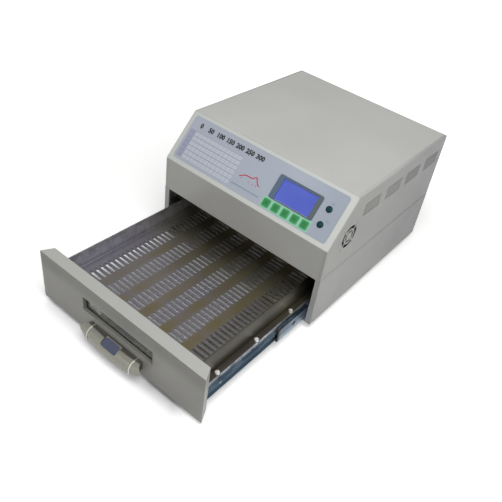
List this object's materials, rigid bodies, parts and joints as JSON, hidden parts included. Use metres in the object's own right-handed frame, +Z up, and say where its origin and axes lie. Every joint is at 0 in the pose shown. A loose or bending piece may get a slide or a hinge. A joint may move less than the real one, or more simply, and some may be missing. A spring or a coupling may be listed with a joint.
{
  "type": "infrared reflow oven",
  "caption": "Bench-top infrared reflow oven: sheet-metal cabinet with a sloped display and key panel, and a slotted tray drawer on ball-bearing slides.",
  "frame": {"origin": "middle of the bounding box's base, on the bench, with the drawer open as modelled", "axes": "+Z up, +Y from the drawer front towards the rear panel, +X to the right seen from the front"},
  "size_m": [0.37, 0.704, 0.2588],
  "materials": {
    "cover_paint": "light grey powder coat",
    "chassis_paint": "light grey powder coat",
    "front_paint": "light grey powder coat",
    "zinc": "blue zinc plate",
    "galvanised": "galvanised sheet",
    "stainless": "stainless sheet with heat tint",
    "screw_steel": "nickel plate",
    "cage_steel": "steel balls in a steel strip",
    "black_plastic": "black moulded plastic",
    "black_gloss": "black moulded plastic",
    "foot_rubber": "matt black",
    "gasket_rubber": "black silicone",
    "window_glass": "clear tempered",
    "handle_metal": "satin",
    "badge": "plain dark blue",
    "film": "printed film",
    "bezel": "grey",
    "screen": "blue display",
    "key_green": "green",
    "board": "circuit board",
    "lamp": "dark teal lens",
    "fibre": "ceramic fibre",
    "mirror_metal": "polished",
    "quartz": "quartz",
    "filament": "resistance wire",
    "ceramic": "unglazed",
    "probe": "steel sheath",
    "core": "varnished core",
    "guard_wire": "plated wire",
    "fan_black": "black moulded plastic",
    "brass_pin": "plated brass",
    "cable": "sleeved harness"
  },
  "bodies": {
    "cabinet": {"chassis_base": "chassis_paint", "top_cover": "cover_paint", "front_fascia": "cover_paint", "rear_panel": "cover_paint", "rubber_feet": "foot_rubber", "chassis_screws": "screw_steel", "slide_carriers": "galvanised", "slide_outer_right": "zinc", "slide_outer_left": "zinc", "control_overlay": "film", "lcd_bezel": "bezel", "lcd_module": "screen", "key_board": "board", "pilot_lamps": "lamp", "control_board": "board", "chamber_hood": "galvanised", "insulation": "fibre", "reflector": "mirror_metal", "reflector_straps": "galvanised", "quartz_tubes": "quartz", "heater_filaments": "filament", "ceramic_caps": "ceramic", "heater_rails": "galvanised", "thermocouples": "probe", "electronics_shelf": "galvanised", "power_board": "board", "transformer": "core", "exhaust_duct": "galvanised", "exhaust_fan_frame": "fan_black", "exhaust_guard": "guard_wire", "side_fan_frame": "fan_black", "power_inlet": "black_gloss", "inlet_pins": "brass_pin", "switch_frame": "black_gloss", "wiring": "cable"},
    "mid_members": {"slide_mid_right": "zinc", "slide_mid_left": "zinc", "slide_bumpers": "black_plastic"},
    "outer_cages": {"outer_ball_cages": "cage_steel"},
    "inner_cages": {"inner_ball_cages": "black_plastic"},
    "drawer": {"slide_inner_right": "zinc", "slide_inner_left": "zinc", "drawer_frame": "galvanised", "drawer_front": "front_paint", "drawer_liner": "galvanised", "tray_pan": "stainless", "drawer_screws": "screw_steel", "window_glass": "window_glass", "window_gasket": "gasket_rubber", "handle": "handle_metal", "handle_badge": "badge"},
    "key_1": {"key_1": "key_green"},
    "key_2": {"key_2": "key_green"},
    "key_3": {"key_3": "key_green"},
    "key_4": {"key_4": "key_green"},
    "key_5": {"key_5": "key_green"},
    "side_rotor": {"side_fan_rotor": "fan_black"},
    "exhaust_rotor": {"exhaust_fan_rotor": "fan_black"},
    "rocker": {"switch_rocker": "black_gloss"},
    "fuse_holder": {"fuse_drawer": "black_gloss"}
  },
  "joints": [
    {"name": "outer_stage", "type": "slide", "parent": "cabinet", "child": "mid_members", "axis": [0, -1, 0], "range_m": [-0.077, 0.098]},
    {"name": "inner_stage", "type": "slide", "parent": "mid_members", "child": "drawer", "axis": [0, -1, 0], "range_m": [-0.175, 0]},
    {"name": "outer_balls", "type": "slide", "parent": "cabinet", "child": "outer_cages", "axis": [0, -1, 0], "range_m": [-0.0385, 0.049]},
    {"name": "inner_balls", "type": "slide", "parent": "mid_members", "child": "inner_cages", "axis": [0, -1, 0], "range_m": [-0.0875, 0]},
    {"name": "key_1_press", "type": "slide", "parent": "cabinet", "child": "key_1", "axis": [0, 0.7425, -0.6698], "range_m": [0, 0.0005], "stiffness_N_per_m": 900, "springref_m": -0.0006},
    {"name": "key_2_press", "type": "slide", "parent": "cabinet", "child": "key_2", "axis": [0, 0.7425, -0.6698], "range_m": [0, 0.0005], "stiffness_N_per_m": 900, "springref_m": -0.0006},
    {"name": "key_3_press", "type": "slide", "parent": "cabinet", "child": "key_3", "axis": [0, 0.7425, -0.6698], "range_m": [0, 0.0005], "stiffness_N_per_m": 900, "springref_m": -0.0006},
    {"name": "key_4_press", "type": "slide", "parent": "cabinet", "child": "key_4", "axis": [0, 0.7425, -0.6698], "range_m": [0, 0.0005], "stiffness_N_per_m": 900, "springref_m": -0.0006},
    {"name": "key_5_press", "type": "slide", "parent": "cabinet", "child": "key_5", "axis": [0, 0.7425, -0.6698], "range_m": [0, 0.0005], "stiffness_N_per_m": 900, "springref_m": -0.0006},
    {"name": "side_fan_spin", "type": "hinge", "parent": "cabinet", "child": "side_rotor", "pos_m": [0.1755, 0.008, 0.18], "axis": [1, 0, 0], "continuous": true},
    {"name": "exhaust_fan_spin", "type": "hinge", "parent": "cabinet", "child": "exhaust_rotor", "pos_m": [-0.07, 0.334, 0.132], "axis": [0, 1, 0], "continuous": true},
    {"name": "rocker_tilt", "type": "hinge", "parent": "cabinet", "child": "rocker", "pos_m": [0.062, 0.343, 0.066], "axis": [1, 0, 0], "range_deg": [-18, 0]},
    {"name": "fuse_pull", "type": "slide", "parent": "cabinet", "child": "fuse_holder", "axis": [0, 1, 0], "range_m": [0, 0.012]}
  ],
  "couplings": [
    {"joint": "outer_balls", "follows": "outer_stage", "ratio": 0.5},
    {"joint": "inner_balls", "follows": "inner_stage", "ratio": 0.5}
  ]
}
